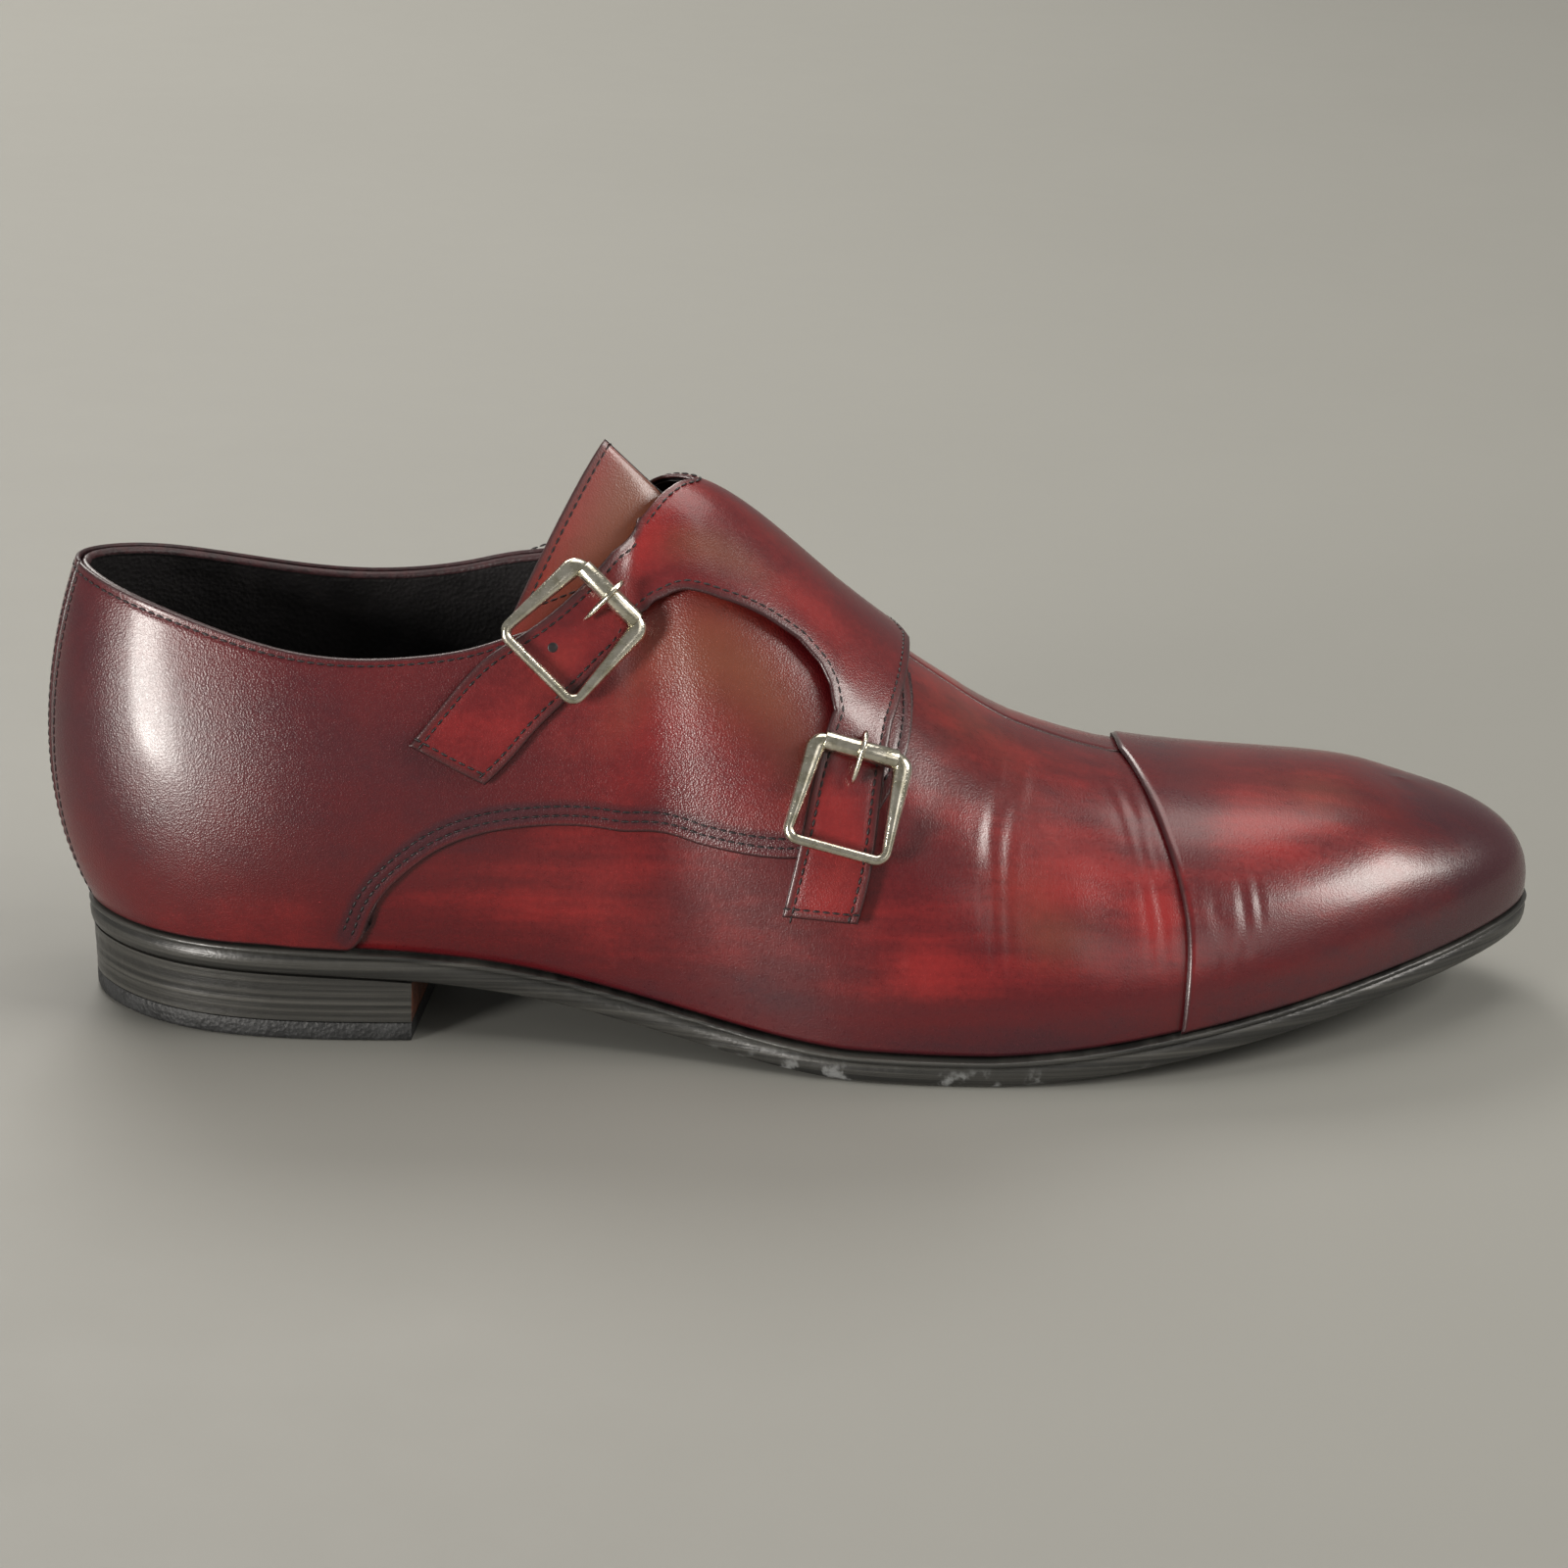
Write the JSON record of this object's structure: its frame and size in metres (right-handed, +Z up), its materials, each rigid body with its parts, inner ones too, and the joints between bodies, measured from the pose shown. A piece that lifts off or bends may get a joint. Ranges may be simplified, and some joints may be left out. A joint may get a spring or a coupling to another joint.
{
  "type": "double monk strap shoe",
  "caption": "Man's right dress shoe in burgundy leather with toe cap, flap and buckled straps over the instep, thin leather sole and stacked heel.",
  "frame": {"origin": "on the floor, at the middle of the shoe's length and width", "axes": "+X from heel to toe, +Y to the inner side of the foot, +Z up; the floor is Z = 0"},
  "size_m": [0.3078, 0.0992, 0.1192],
  "materials": {
    "burgundy leather": "polished patina",
    "blackened leather": "waxed edge",
    "black lining leather": "matt",
    "black rubber": "matt",
    "pale metal": "polished, pale gold or nickel"
  },
  "bodies": {
    "root": {"outsole": "blackened leather", "heel_stack": "blackened leather", "heel_top_piece": "black rubber", "insole": "black lining leather", "upper": "burgundy leather", "toe_cap": "burgundy leather", "lateral_quarter": "burgundy leather", "medial_quarter": "burgundy leather", "strap_flap": "burgundy leather", "tongue": "burgundy leather", "rear_buckle_frame": "pale metal", "rear_buckle_prong": "pale metal", "front_buckle_frame": "pale metal", "front_buckle_prong": "pale metal"}
  },
  "joints": []
}
